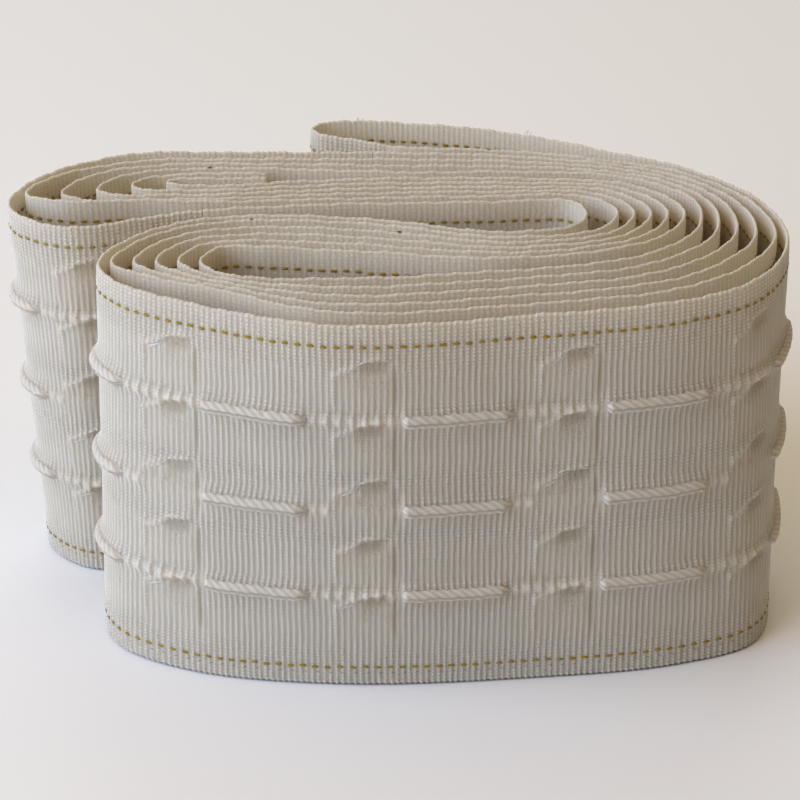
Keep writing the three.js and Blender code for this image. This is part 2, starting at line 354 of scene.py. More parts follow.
class Winding:
    """The band's middle line, by the distance travelled back from the fold's inner end."""

    def __init__(self):
        fold = [(np.array(point, float), np.array(point, float)) for point in FOLD]
        rows = [*strand(0)[::-1], *fold, *strand(1)]
        top = smooth_curve([row[0] for row in rows])
        foot = smooth_curve([row[1] for row in rows])
        along = np.concatenate([[0], np.cumsum(np.linalg.norm(np.diff(top, axis=0), axis=1))])
        fold_end = len(SECTIONS) * LAYERS // 2 + len(FOLD) - 1
        travel = np.gradient(top, axis=0)
        heading = np.unwrap(np.arctan2(travel[:, 1], travel[:, 0]))
        self.travelled = (along[fold_end * SAMPLES_PER_SECTION] - along)[::-1]
        self.top = top[::-1]
        self.foot = foot[::-1]
        self.heading = heading[::-1]
        lifts = [*rises(0)[::-1], *[0] * len(FOLD), *rises(1)]
        steps = np.arange(len(top)) / SAMPLES_PER_SECTION
        self.rise = np.interp(steps, np.arange(len(lifts)), lifts)[::-1]
        self.shift = np.zeros(2)
        self.shift = self.middle_of_solid() - self.middle_of_band()

    def middle_of_solid(self):
        """Where the middle of the solid lies in plan."""
        low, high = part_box("tape_band")
        return (np.array(low) + np.array(high))[:2] / 2 / MM

    def middle_of_band(self):
        """Where the middle of the unshifted winding lies in plan."""
        corners = [
            self.place(self.travelled, height, side * THICKNESS / 2)
            for height in (0, WIDTH)
            for side in (-1, 1)
        ]
        points = np.vstack(corners)[:, :2] / MM
        return (points.min(0) + points.max(0)) / 2

    def read(self, values, travelled):
        """A value of the winding at the distances travelled."""
        return np.interp(travelled, self.travelled, values)

    def place(self, travelled, height, out):
        """Points on or off the band, in metres."""
        travelled, height, out = np.broadcast_arrays(travelled, height, out)
        share = height / WIDTH
        heading = self.read(self.heading, travelled)
        face = (np.sin(heading), -np.cos(heading))
        flat = []
        for axis in (0, 1):
            top = self.read(self.top[:, axis], travelled)
            foot = self.read(self.foot[:, axis], travelled)
            flat.append(foot + (top - foot) * share + face[axis] * out + self.shift[axis])
        return np.stack([*flat, height + self.read(self.rise, travelled)], axis=-1) * MM


WINDING = Winding()


def repeats_of(travelled):
    """How many repeats of the pattern lie before a place on the outermost turn."""
    hidden = (LOBE_COLUMN - FIRST_COLUMN) % REPEAT
    eased = np.clip((travelled - NOTCH_FROM) / (NOTCH_TO - NOTCH_FROM), 0, 1)
    return (travelled - FIRST_COLUMN - hidden * eased) / REPEAT


def from_column(travelled):
    """Signed distance along the band from the middle of the nearest pocket column."""
    repeats = repeats_of(travelled)
    return (repeats - np.round(repeats)) * REPEAT


def quirk(travelled, seed):
    """An irregular number between -1 and 1 for each pocket column."""
    return np.sin(COLUMN_STEP * np.round(repeats_of(travelled)) + SEED_STEP * seed)


def unevenness(travelled, height, seed):
    """A soft, irregular wave between about -1 and 1."""
    waves = np.random.default_rng(seed)
    total = 0
    for length in UNEVEN_LENGTHS:
        drift = waves.uniform(-0.5, 0.5)
        phase = waves.uniform(0, 2 * math.pi)
        total = total + np.sin(2 * math.pi * (travelled + drift * height) / length + phase)
    return total / 3


def rib_wave(travelled, height, settings):
    """The ribs across the band, 1 on a rib and 0 between two, a little wavy and uneven."""
    pitch = settings.rib_pitch / MM
    group = np.floor(travelled / SWAY_LENGTH)
    sway = RIB_SWAY * np.sin(2 * math.pi * height / SWAY_HEIGHT + 1.7 * group)
    wave = (0.5 + 0.5 * np.cos(2 * math.pi * (travelled + sway) / pitch)) ** RIB_SHARPNESS
    return wave * (1 + 0.16 * unevenness(travelled, height * 0.2, 5))


def in_pocket(beside):
    """1 inside a pocket column, easing to 0 at its two borders."""
    return 1 - smooth(np.abs(beside), POCKET_WIDTH / 2 - 0.7, POCKET_WIDTH / 2 + 0.1)


def patches(beside, height):
    """1 on the finer cloth below each mouth."""
    total = 0
    for mouth in POCKET_MOUTHS:
        below = smooth(height, mouth - PATCH_DEPTH - 0.3, mouth - PATCH_DEPTH + 0.3)
        total = total + below * (1 - smooth(height, mouth - 0.3, mouth + 0.3))
    return total * in_pocket(beside)


def beside_patches(height):
    """1 at the heights of the patches, for what lies along their borders."""
    total = 0
    for mouth in POCKET_MOUTHS:
        below = smooth(height, mouth - PATCH_DEPTH - 0.5, mouth - PATCH_DEPTH + 0.8)
        total = total + below * (1 - smooth(height, mouth - 0.2, mouth + 1.4))
    return np.clip(total, 0, 1)


def held_cords(beside, height):
    """Where the draw cords pass under the weave, as a share of their full bulge."""
    lumps = 0.72 + 0.28 * np.cos(2 * math.pi * beside / LUMP_PITCH + 0.8)
    held = (1 - afloat(beside)) * (1 - 0.35 * smooth(np.abs(beside), 6.5, 11))
    total = 0
    for name, level in CORD_HEIGHTS.items():
        shows = 1 - 0.8 * in_pocket(beside) if name == "middle" else 1
        total = total + bell(height, level, 1.15) * held * lumps * shows
    return np.clip(total, 0, 1)


def floating_cords(beside, height):
    """The low swell of the cloth round each float."""
    total = 0
    for level in CORD_HEIGHTS.values():
        above = 0.75 * bell(height, level + 1.2, 1.1)
        total = total + (above + 0.45 * bell(height, level - 0.9, 1.4)) * afloat(beside)
    return total


def opened_mouths(travelled, beside, height):
    """The slanted opening on one half of each mouth, and the raised lip above it."""
    opening, lip = 0, 0
    for count, mouth in enumerate(POCKET_MOUTHS):
        aside = beside + OPENING_ASIDE + 0.45 * quirk(travelled, count)
        aside = aside / OPENING_HALF_WIDTH
        level = mouth + OPENING_RISE - OPENING_SLANT * aside + 0.25 * quirk(travelled, count + 9)
        size = 0.9 + 0.1 * quirk(travelled, count + 5)
        within = np.exp(-(aside**4))
        upright = np.exp(-(((height - level) / OPENING_HALF_HEIGHT) ** 4))
        opening = opening + size * within * upright
        lip = lip + within * bell(height, level + LIP_RISE, LIP_WIDTH)
        start, rise = RIDGE_START
        slant = mouth + rise + RIDGE_SLANT * (start - beside) + 0.2 * quirk(travelled, count + 13)
        ridge = smooth(beside, 0.2, 1.4) * (1 - smooth(beside, 5.0, 5.9))
        lip = lip + 0.8 * ridge * bell(height, slant, RIDGE_WIDTH)
    return np.clip(opening, 0, 1), np.clip(lip, 0, 1)


def fine_lines(beside, height):
    """1 where the patches show their finest crosswise lines, just under each mouth."""
    total = 0
    for mouth in POCKET_MOUTHS:
        total = total + bell(height, mouth - 2.3, 1.5)
    across = smooth(beside, -5.4, -4.6) * (1 - smooth(beside, 1.0, 2.6))
    return patches(beside, height) * (0.15 + 0.85 * total * across)


def hollows(travelled, beside, height):
    """How deep in shadow the cloth lies: in the mouths, along one border, over held cords."""
    opening, _ = opened_mouths(travelled, beside, height)
    total = opening + 0.5 * bell(beside, GROOVED_BORDER, 0.45) * beside_patches(height)
    pinches = np.clip(np.cos(2 * math.pi * beside / LUMP_PITCH - 2.2), 0, 1)
    pinches = pinches * smooth(beside, -2, 1)
    for level in CORD_HEIGHTS.values():
        held = (1 - afloat(beside)) * (1 - smooth(np.abs(beside), 7, 9))
        total = total + 0.8 * bell(height, level + 1.6, 0.35) * pinches * held
    return np.clip(total, 0, 1)


def beading(travelled, height, beside):
    """Where the ribs are broken into beads: at both edges and above the mouths."""
    ragged = 1.1 * unevenness(travelled * 2.3, height * 0.1, 11)
    total = smooth(height + ragged, 66.5, 69.5) + 1 - smooth(height + ragged, 7.0, 9.5)
    for mouth in POCKET_MOUTHS:
        total = total + 0.95 * bell(height + ragged, mouth + 2.4, 2.1)
        total = total + 0.5 * bell(height + ragged, mouth - 2.4, 1.5) * (1 - in_pocket(beside))
    border = bell(beside, BEADED_BORDER, 0.5) * beside_patches(height)
    for level in CORD_HEIGHTS.values():
        border = border + 0.8 * bell(height, level + 2.0, 0.7) * afloat(beside)
    return np.clip(total * (1 - 0.5 * patches(beside, height)) + border, 0, 1)


def face_relief(travelled, height, settings):
    """How far the detailed face stands out of the band's flat face."""
    beside = from_column(travelled)
    cords = held_cords(beside, height)
    patch = patches(beside, height)
    opening, lip = opened_mouths(travelled, beside, height)
    ribs = settings.rib_height / MM * rib_wave(travelled, height, settings)
    ribs = ribs * (1 - 0.3 * patch) * (1 - 0.5 * cords) * (1 - opening)
    along = beside_patches(height)
    border = BORDER_RELIEF * bell(beside, BEADED_BORDER, 0.45) * along
    groove = GROOVE_RELIEF * bell(beside, GROOVED_BORDER, 0.45) * along
    mouths = PATCH_RELIEF * patch - MOUTH_RELIEF * opening + LIP_RELIEF * lip
    swells = HELD_RELIEF * cords + floating_cords(beside, height)
    return ribs + swells + mouths + border - groove


def plain_relief(travelled, height, settings):
    """How far the plain cloth stands out of the band's flat face: its ribs alone."""
    return PLAIN_RIBS * settings.rib_height / MM * rib_wave(travelled, height, settings)


def face_heights(detailed):
    """The heights at which the band's face is divided, from foot to top."""
    if not detailed:
        return np.array(PLAIN_HEIGHTS)
    heights = list(np.arange(FACE_FOOT, WIDTH - 0.6, FACE_STEP))
    for mouth in POCKET_MOUTHS:
        heights += list(mouth + np.arange(-0.8, 3.0, MOUTH_STEP))
    for level in CORD_HEIGHTS.values():
        heights += [level + step for step in CORD_STEPS]
    heights = sorted([*heights, FACE_TOP])
    kept = [heights[0]]
    for height in heights[1:]:
        if height - kept[-1] > LEAST_STEP:
            kept.append(height)
    return np.array(kept)


def cross_section(detailed):
    """The closed outline of the band's section as heights and distances out of its middle."""
    crown = ((WIDTH - 0.16, 0.2), (WIDTH, 0.0), (WIDTH - 0.16, -0.2))
    sole = ((0.08, -0.2), (0.0, 0.0), (0.08, 0.2))
    rows = [(height, CLOTH_HALF) for height in face_heights(detailed)]
    rows += crown
    rows += [(height, -CLOTH_HALF) for height in reversed(PLAIN_HEIGHTS)]
    rows += sole
    return np.array(rows).T


def closed_sleeve(columns, rows):
    """Quads round a sleeve of closed rings, with a cap on each of its two ends."""
    ring = np.arange(rows)
    following = (ring + 1) % rows
    start = np.arange(columns - 1)[:, None] * rows
    corners = (start + ring, start + rows + ring, start + rows + following, start + following)
    quads = np.stack(corners, axis=-1)
    last = (columns - 1) * rows
    caps = [list(range(rows)), list(range(last + rows - 1, last - 1, -1))]
    return quads.reshape(-1, 4), caps


def facing_out(points, quads):
    """Whether the quads of a closed sleeve face away from its inside."""
    a, b, c, d = (points[quads[:, k]] for k in range(4))
    halves = np.einsum("ij,ij->i", a, np.cross(b, c)) + np.einsum("ij,ij->i", a, np.cross(c, d))
    return halves.sum() > 0


def make_piece(name, parts, material, replaced=(), marks=None):
    """A smooth mesh of one or more closed sleeves, set on the roll.

    parts holds each sleeve's points as rings. marks holds named values for each point,
    which the materials read.
    """
    points, faces = [], []
    used = 0
    for rings in parts:
        columns, rows = rings.shape[:2]
        flat = rings.reshape(-1, 3)
        quads, caps = closed_sleeve(columns, rows)
        if not facing_out(flat - flat.mean(0), quads):
            quads = quads[:, ::-1]
            caps = [cap[::-1] for cap in caps]
        points.append(flat)
        faces += (quads + used).tolist()
        faces += [[corner + used for corner in cap] for cap in caps]
        used += len(flat)
    mesh = bpy.data.meshes.new(name)
    mesh.from_pydata(np.vstack(points).tolist(), [], faces)
    mesh.polygons.foreach_set("use_smooth", np.ones(len(mesh.polygons), bool))
    for label, values in (marks or {}).items():
        attribute = mesh.attributes.new(label, "FLOAT_VECTOR", "POINT")
        attribute.data.foreach_set("vector", np.asarray(values, np.float32).ravel())
    mesh.materials.append(material)
    mesh.update()
    piece = bpy.data.objects.new(name, mesh)
    bpy.context.scene.collection.objects.link(piece)
    if replaced:
        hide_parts(*replaced)
    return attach(piece, "root")


def selvedges(travelled, height, ribs):
    """How far the bumpy upper edge and the notched foot lift the cloth."""
    top = smooth(height, WIDTH - 2, WIDTH) * (0.15 * ribs + 0.2 * unevenness(travelled, 0, 3))
    foot = (1 - smooth(height, 0, 1.2)) * 0.22 * (1 - ribs).clip(0, 1)
    return top + foot


def marks_of_run(travelled, height, side, detailed):
    """What the cloth's finish reads at each point of a run.

    run is the place on the band; weave has beads, fine lines and the painted shade of the hollows;
    swell has the held cords and lips, which the colour keeps free of painted groove shade, and
    where the cloth is plain.
    """
    beside = from_column(travelled)
    blank = np.zeros(np.broadcast(travelled, height).shape)
    run = np.stack([blank + travelled, blank + height, blank + side], axis=-1)
    facing = blank + (side > 0.99) * detailed
    beads = beading(travelled, height, beside) * (PLAIN_BEADS + (1 - PLAIN_BEADS) * facing)
    lines = facing * fine_lines(beside, height)
    # Painted shade in the mouths, along one border and over the held cords
    painted_shade = facing * hollows(travelled, beside, height)
    _, lip = opened_mouths(travelled, beside, height)
    # Painted light: the held cords and lips are kept free of the painted groove shade
    held = facing * np.clip(held_cords(beside, height) + 0.9 * lip, 0, 1)
    weave = np.stack([beads, lines, painted_shade], axis=-1)
    swell = np.stack([held, 1 - facing, blank], axis=-1)
    return {"run": run, "weave": weave, "swell": swell}


def weave_run(name, start, end, detailed, settings, material):
    """One run of the band as a closed sleeve, with its ribs, pockets and bumpy selvedges."""
    per_rib = 5 if detailed else 3
    step = settings.rib_pitch / MM / per_rib
    start = WINDING.travelled[0] if start is None else start
    end = WINDING.travelled[-1] if end is None else end
    travelled = np.arange(round(start / step), round(end / step) + 1)[:, None] * step
    travelled = np.clip(travelled, WINDING.travelled[0], WINDING.travelled[-1])
    height, out = cross_section(detailed)
    side = out / CLOTH_HALF
    relief = plain_relief(travelled, height, settings)
    if detailed:
        on_face = face_relief(travelled, height, settings)
        relief = np.where(side > 0, on_face, relief)
    relief = relief * (1 - 0.7 * smooth(height, WIDTH - 3, FACE_TOP + 0.1))
    lift = selvedges(travelled, height, rib_wave(travelled, height, settings))
    points = WINDING.place(travelled, height + lift, out + side * relief)
    points[..., 2] = points[..., 2].clip(0, None)
    marks = marks_of_run(travelled, height, side, detailed)
    return make_piece(name, [points], material, ["tape_band"], marks)


def afloat(beside):
    """1 where a cord floats on the face, between one pocket column and the next."""
    return np.where(beside < 0, smooth(-beside, *FLOAT_DOWN), smooth(beside, *FLOAT_UP))


def cord_route():
    """Places of a cord's rings along the outermost turn, and how far each is afloat."""
    travelled = [OUTER_FROM]
    while travelled[-1] < OUTER_TO - 4:
        here = travelled[-1]
        hidden = NOTCH_FROM + 8 < here < NOTCH_TO - 8
        floats = abs(float(from_column(np.array(here)))) > 6.6
        travelled.append(here + (HIDDEN_RINGS if hidden else FLOAT_RINGS if floats else HELD_RINGS))
    travelled = np.array(travelled)[:, None]
    enters = smooth(travelled, NOTCH_FROM - 2, NOTCH_FROM + 6)
    leaves = smooth(travelled, NOTCH_TO - 6, NOTCH_TO + 2)
    return travelled, afloat(from_column(travelled)) * (1 - enters * (1 - leaves))


def cord_rings(level, settings):
    """One draw cord as a single twisted tube: proud in its floats, thin under the weave."""
    radius = settings.cord_radius / MM
    travelled, share = cord_route()
    turn = np.linspace(0, 2 * math.pi, CORD_SIDES, endpoint=False)[None, :]
    twist = turn - 2 * math.pi * travelled / (settings.cord_lead / MM)
    ply_turn = 2 * math.pi / CORD_PLIES
    lobe = np.mod(twist + ply_turn / 2, ply_turn) - ply_turn / 2
    reach = np.sqrt(PLY_RADIUS**2 - (PLY_OFFSET * np.sin(lobe)) ** 2)
    shape = PLY_OFFSET * np.cos(lobe) + reach
    size = radius * shape * (HELD_SIZE + (1 - HELD_SIZE) * share)
    size = size * (1 + 0.05 * unevenness(travelled, level, 21))
    middle = 0.05 + (CLOTH_HALF + radius * FLOAT_SEAT) * share
    height = level + 0.12 * unevenness(travelled, level, 22) + size * np.sin(turn)
    rings = WINDING.place(travelled, height, middle + 0.9 * size * np.cos(turn))
    run = np.stack([travelled + 0 * turn, twist + 0 * travelled, share + 0 * turn], axis=-1)
    return rings, run


def bridge(start, end, arch, radius, sides=6, steps=8):
    """A thread that arches from one (travelled, height) of the face to another."""
    share = np.linspace(0, 1, steps)[:, None]
    turn = np.linspace(0, 2 * math.pi, sides, endpoint=False)[None, :]
    run = np.array(end) - np.array(start)
    across = np.array([-run[1], run[0]]) / np.linalg.norm(run)
    thin = radius * (0.5 + 0.5 * np.sin(math.pi * share))
    travelled = start[0] + run[0] * share + across[0] * thin * np.sin(turn)
    height = start[1] + run[1] * share + across[1] * thin * np.sin(turn)
    out = CLOTH_HALF + arch * np.sin(math.pi * share) + thin * np.cos(turn)
    return WINDING.place(travelled, height, out)


def shown_columns():
    """The middles of the pocket columns on the outermost turn, outside the notch."""
    first = np.arange(FIRST_COLUMN, NOTCH_FROM, REPEAT)
    second = np.arange(LOBE_COLUMN, OUTER_TO - 12, REPEAT)
    return [*first, *second]


def stitch(middle, length, level, side, lift):
    """One marker stitch: a flat, rounded dash of yarn on the band's surface."""
    share = np.array([-0.5, -0.36, 0.36, 0.5])[:, None]
    full = np.array([0.35, 1.0, 1.0, 0.35])[:, None]
    turn = np.linspace(0, 2 * math.pi, 6, endpoint=False)[None, :]
    travelled = middle + length * share + 0 * turn
    height = level + STITCH_HALF_WIDTH * full * np.sin(turn)
    out = side * (CLOTH_HALF + lift + STITCH_HALF_DEPTH * full * np.cos(turn))
    return WINDING.place(travelled, height, out)


def curl(travelled, height, out, reach, seed, radius=0.07):
    """A curled fibre that stands on the band's edge."""
    chance = np.random.default_rng(seed)
    share = np.linspace(0, 1, 14)[:, None]
    turn = np.linspace(0, 2 * math.pi, 6, endpoint=False)[None, :]
    lean = chance.uniform(-1, 1, 2)
    bend = reach * np.sin(share * math.pi * 1.3)
    along = travelled + reach * lean[0] * share + 0.5 * bend + radius * np.cos(turn)
    aside = out + lean[1] * reach * share + radius * np.sin(turn)
    return WINDING.place(along, height + bend + 0 * turn, aside)


def unmarked(threads):
    """A blank mark for threads that show no twist."""
    points = sum(rings.shape[0] * rings.shape[1] for rings in threads)
    return {"run": np.zeros((points, 3))}


def fleck(travelled, height, out, size):
    """A small flat crumb that lies on the band."""
    share = np.linspace(-1, 1, 5)[:, None]
    turn = np.linspace(0, 2 * math.pi, 8, endpoint=False)[None, :]
    full = np.sqrt(np.clip(1.02 - share**2, 0.02, 1))
    along = travelled + size * full * np.cos(turn)
    across = out + 0.7 * size * full * np.sin(turn)
    return WINDING.place(along, height + 0.3 * size * share, across)


def add_node(tree, kind, **values):
    """A new node with these settings."""
    node = tree.nodes.new(kind)
    for name, value in values.items():
        setattr(node, name, value)
    return node


def join(tree, socket, value):
    """Links a node's output to the socket, or sets a plain value on it."""
    if isinstance(value, bpy.types.NodeSocket):
        tree.links.new(value, socket)
    else:
        socket.default_value = value


def calc(tree, operation, *values):
    """The output of one step of arithmetic."""
    node = add_node(tree, "ShaderNodeMath", operation=operation)
    for socket, value in zip(node.inputs, values):
        join(tree, socket, value)
    return node.outputs[0]


def blend_colours(tree, share, first, second):
    """The first colour at a share of 0, and the second at 1."""
    node = add_node(tree, "ShaderNodeMix", data_type="RGBA")
    join(tree, node.inputs["Factor"], share)
    for name, value in (("A", first), ("B", second)):
        socket = next(s for s in node.inputs if s.name == name and s.type == "RGBA")
        join(tree, socket, value)
    return next(s for s in node.outputs if s.type == "RGBA")


def wave_of(tree, value, length, shift=0.0):
    """A cosine between 0 and 1 with that wavelength."""
    turns = calc(tree, "MULTIPLY_ADD", value, 2 * math.pi / length, shift)
    return calc(tree, "MULTIPLY_ADD", calc(tree, "COSINE", turns), 0.5, 0.5)


def bell_of(tree, value, middle, width):
    """A swell of 1 at the middle that falls off on both sides."""
    away = calc(tree, "DIVIDE", calc(tree, "SUBTRACT", value, middle), width)
    squared = calc(tree, "MULTIPLY", away, away)
    return calc(tree, "EXPONENT", calc(tree, "MULTIPLY", squared, -1.0))


def read_mark(tree, name):
    """A mark of the mesh as a vector, and its three values."""
    source = add_node(tree, "ShaderNodeAttribute", attribute_name=name)
    parts = add_node(tree, "ShaderNodeSeparateXYZ")
    tree.links.new(source.outputs["Vector"], parts.inputs[0])
    return source.outputs["Vector"], list(parts.outputs)


def grain(tree, vector, scale, stretch=(1, 1, 1), detail=3.0):
    """An uneven tone between 0 and 1."""
    mapping = add_node(tree, "ShaderNodeMapping")
    mapping.inputs["Scale"].default_value = stretch
    tree.links.new(vector, mapping.inputs["Vector"])
    noise = add_node(tree, "ShaderNodeTexNoise")
    noise.inputs["Scale"].default_value = scale
    noise.inputs["Detail"].default_value = detail
    tree.links.new(mapping.outputs[0], noise.inputs["Vector"])
    return noise.outputs["Fac"]


def new_material(name, roughness, sheen):
    """A matt fibre finish with a warm sheen."""
    material = bpy.data.materials.new(name)
    material.use_nodes = True
    shader = material.node_tree.nodes["Principled BSDF"]
    shader.inputs["Roughness"].default_value = roughness
    shader.inputs["Specular IOR Level"].default_value = 0.12
    shader.inputs["Sheen Weight"].default_value = sheen
    shader.inputs["Sheen Tint"].default_value = WARM_SHEEN
    shader.inputs["Sheen Roughness"].default_value = 0.5
    return material, material.node_tree, shader


def soften(shader, weight, radius, scale):
    """Lets light through the fibres, red the deepest."""
    shader.inputs["Subsurface Weight"].default_value = weight
    shader.inputs["Subsurface Radius"].default_value = radius
    shader.inputs["Subsurface Scale"].default_value = scale


def raise_surface(tree, shader, height, distance):
    """Gives the surface a relief too fine for the mesh."""
    bump = add_node(tree, "ShaderNodeBump")
    bump.inputs["Strength"].default_value = 1.0
    bump.inputs["Distance"].default_value = distance
    tree.links.new(height, bump.inputs["Height"])
    tree.links.new(bump.outputs[0], shader.inputs["Normal"])


def cloth_colour(tree, settings, marks, shine):
    """The cloth's colour with its painted light and shade, and the painted light on its plain inner
    walls.

    The ribs are light, with painted highlights on the beads and painted shade between ribs
    and beads, painted tan shade in the hollows, a painted darker shade on the upper edge and
    dark dots near the foot.
    """
    travelled, height, beads, patch, painted_shade, held, plain, rib = marks
    # Painted shade: the gaps between beads and the cloth between ribs take the darker colour, and
    # the held cords and lips are kept light
    gaps = calc(tree, "SUBTRACT", 1.0, wave_of(tree, height, BEAD_PITCH))
    solid = calc(tree, "SUBTRACT", 1.0, calc(tree, "MULTIPLY", gaps, beads))
    groove = calc(tree, "MAXIMUM", calc(tree, "MULTIPLY", rib, solid), held)
    calmer = calc(tree, "MULTIPLY_ADD", plain, -CALM, 1.0)
    groove = calc(tree, "MULTIPLY_ADD", groove, calmer, calc(tree, "MULTIPLY", plain, CALM))
    cloth = blend_colours(tree, groove, (*settings.painted_groove_shade, 1), (*settings.cloth_light, 1))
    above = calc(tree, "SUBTRACT", height, WIDTH - CREST_DEPTH)
    crest = calc(tree, "MAXIMUM", above, 0.0)
    dots = wave_of(tree, travelled, settings.marker_pitch / MM, 1.3)
    dots = calc(tree, "MULTIPLY", dots, bell_of(tree, height, DOT_HEIGHT, DOT_SIZE))
    dots = calc(tree, "GREATER_THAN", dots, 0.72)
    # Painted highlights on the beads, the patches' own slight tan, painted tan shade in the
    # hollows, painted shade on the crest, then the dark dots
    layers = (
        (shine, 0.75, (*settings.painted_bead_highlight, 1)),
        (patch, 0.05, (*settings.shade_and_patch_tan, 1)),
        (painted_shade, 0.9, (*settings.shade_and_patch_tan, 1)),
        (crest, 0.5, CREST_SHADE_COLOUR),
        (dots, 0.6, DOT_COLOUR),
    )
    for place, strength, colour in layers:
        cloth = blend_colours(tree, calc(tree, "MULTIPLY", place, strength), cloth, colour)
    # Painted light on the plain inner walls, kept off the crest
    inside = calc(tree, "MULTIPLY", plain, calc(tree, "SUBTRACT", 1.0, crest))
    return cloth, calc(tree, "MULTIPLY", inside, INNER_PAINTED_LIGHT)


def woven_cloth(settings):
    """Off-white ribbed cloth: beads on the ribs, finer lines on the pockets, painted tan shade in
    the hollows, painted shade between ribs and painted highlights on beads.
    """
    found = bpy.data.materials.get("woven_cloth")
    if found:
        return found
    material, tree, shader = new_material("woven_cloth", 0.82, 0.2)
    soften(shader, *CLOTH_DEPTH)
    vector, (travelled, height, _) = read_mark(tree, "run")
    _, (beads, patch, painted_shade) = read_mark(tree, "weave")
    _, (held, plain, _) = read_mark(tree, "swell")
    rib = wave_of(tree, travelled, settings.rib_pitch / MM)
    rib = calc(tree, "POWER", rib, RIB_SHARPNESS)
    shine = calc(tree, "MULTIPLY", rib, wave_of(tree, height, BEAD_PITCH))
    shine = calc(tree, "MULTIPLY", shine, beads)
    marks = (travelled, height, beads, patch, painted_shade, held, plain, rib)
    cloth, painted_light = cloth_colour(tree, settings, marks, shine)
    fibres = grain(tree, vector, FIBRE_GRAIN, (1.6, 0.5, 1))
    fine = grain(tree, vector, FINE_GRAIN, detail=2.0)
    broad = grain(tree, vector, BROAD_GRAIN, detail=2.0)
    tone = calc(tree, "MULTIPLY_ADD", broad, 0.16, 0.92)
    tone = calc(tree, "ADD", tone, calc(tree, "MULTIPLY_ADD", fibres, 0.14, -0.07))
    tinted = add_node(tree, "ShaderNodeHueSaturation")
    tree.links.new(calc(tree, "ADD", tone, painted_light), tinted.inputs["Value"])
    tree.links.new(cloth, tinted.inputs["Color"])
    tree.links.new(tinted.outputs[0], shader.inputs["Base Color"])
    lines = calc(tree, "MULTIPLY", wave_of(tree, height, LINE_PITCH), patch)
    bumps = calc(tree, "MULTIPLY_ADD", shine, 0.8, calc(tree, "MULTIPLY", lines, 0.4))
    bumps = calc(tree, "ADD", bumps, calc(tree, "MULTIPLY", fibres, 0.5))
    bumps = calc(tree, "ADD", bumps, calc(tree, "MULTIPLY", fine, 0.2))
    raise_surface(tree, shader, bumps, CLOTH_BUMP)
    return material


def cord_yarn(settings):
    """Soft, slightly shiny yarn with fine filaments that follow the twist, and painted shade
    between its plies.
    """
    found = bpy.data.materials.get("cord_yarn")
    if found:
        return found
    material, tree, shader = new_material("cord_yarn", 0.7, 0.1)
    soften(shader, *CORD_DEPTH)
    vector, (travelled, twist, _) = read_mark(tree, "run")
    slanted = calc(tree, "ADD", twist, calc(tree, "MULTIPLY", travelled, -0.9))
    strands = wave_of(tree, slanted, 0.5)
    # Painted shade between the plies
    ply = wave_of(tree, twist, 2 * math.pi / CORD_PLIES)
    soft = grain(tree, vector, YARN_GRAIN)
    colour = blend_colours(tree, ply, (*settings.painted_ply_shade, 1), (*settings.cord_light, 1))
    colour = blend_colours(tree, calc(tree, "MULTIPLY", strands, 0.12), colour, FILAMENT_COLOUR)
    tree.links.new(colour, shader.inputs["Base Color"])
    bumps = calc(tree, "MULTIPLY_ADD", strands, 0.5, calc(tree, "MULTIPLY", soft, 0.5))
    raise_surface(tree, shader, bumps, CORD_BUMP)
    return material


def marker_yarn(settings):
    """Golden olive yarn with some uneven dye."""
    material, tree, shader = new_material("marker_yarn", 0.7, 0.15)
    place = add_node(tree, "ShaderNodeTexCoord").outputs["Object"]
    uneven = grain(tree, place, DYE_GRAIN, detail=2.0)
    dark = tuple(0.45 * part for part in settings.marker_colour)
    colour = blend_colours(tree, uneven, (*dark, 1), (*settings.marker_colour, 1))
    tree.links.new(colour, shader.inputs["Base Color"])
    raise_surface(tree, shader, uneven, MARKER_BUMP)
    return material


def speck_finish(name, colour):
    """A crumb of dark dust, uneven in tone."""
    material, tree, shader = new_material(name, 0.8, 0.0)
    place = add_node(tree, "ShaderNodeTexCoord").outputs["Object"]
    uneven = grain(tree, place, DUST_GRAIN, detail=2.0)
    dark = tuple(0.5 * part for part in colour)
    tone = blend_colours(tree, uneven, (*dark, 1), (*colour, 1))
    tree.links.new(tone, shader.inputs["Base Color"])
    return material


def plain_floor():
    """Matt, pale and nearly even."""
    material, tree, shader = new_material("pale_floor", 0.9, 0.0)
    place = add_node(tree, "ShaderNodeTexCoord").outputs["Object"]
    uneven = grain(tree, place, FLOOR_GRAIN, detail=1.0)
    colour = blend_colours(tree, uneven, *FLOOR_COLOURS)
    tree.links.new(colour, shader.inputs["Base Color"])
    return material


def lay_floor(scene):
    """A wide floor just below the roll's foot."""
    mesh = bpy.data.meshes.new("pale_floor")
    signs = ((-1, -1), (1, -1), (1, 1), (-1, 1))
    corners = [(x * FLOOR_HALF, y * FLOOR_HALF, 0) for x, y in signs]
    mesh.from_pydata(corners, [], [(0, 1, 2, 3)])
    mesh.materials.append(plain_floor())
    floor = bpy.data.objects.new("pale_floor", mesh)
    floor.location.z = -FLOOR_GAP
    scene.collection.objects.link(floor)


def light_room(scene):
    """A faint warm light from all round."""
    world = bpy.data.worlds.new("pale_room")
    world.use_nodes = True
    background = world.node_tree.nodes["Background"]
    background.inputs["Color"].default_value = ROOM_COLOUR
    background.inputs["Strength"].default_value = ROOM_STRENGTH
    scene.world = world


def hang_lamps(scene):
    """The soft lamps, each turned to the roll."""
    for name, place, size, power, colour in LAMPS:
        light = bpy.data.lights.new(name, "AREA")
        light.size = size
        light.energy = power
        light.color = colour
        lamp = bpy.data.objects.new(name, light)
        lamp.location = place
        aim = Vector(LAMP_AIM) - lamp.location
        lamp.rotation_euler = aim.to_track_quat("-Z", "Y").to_euler()
        scene.collection.objects.link(lamp)


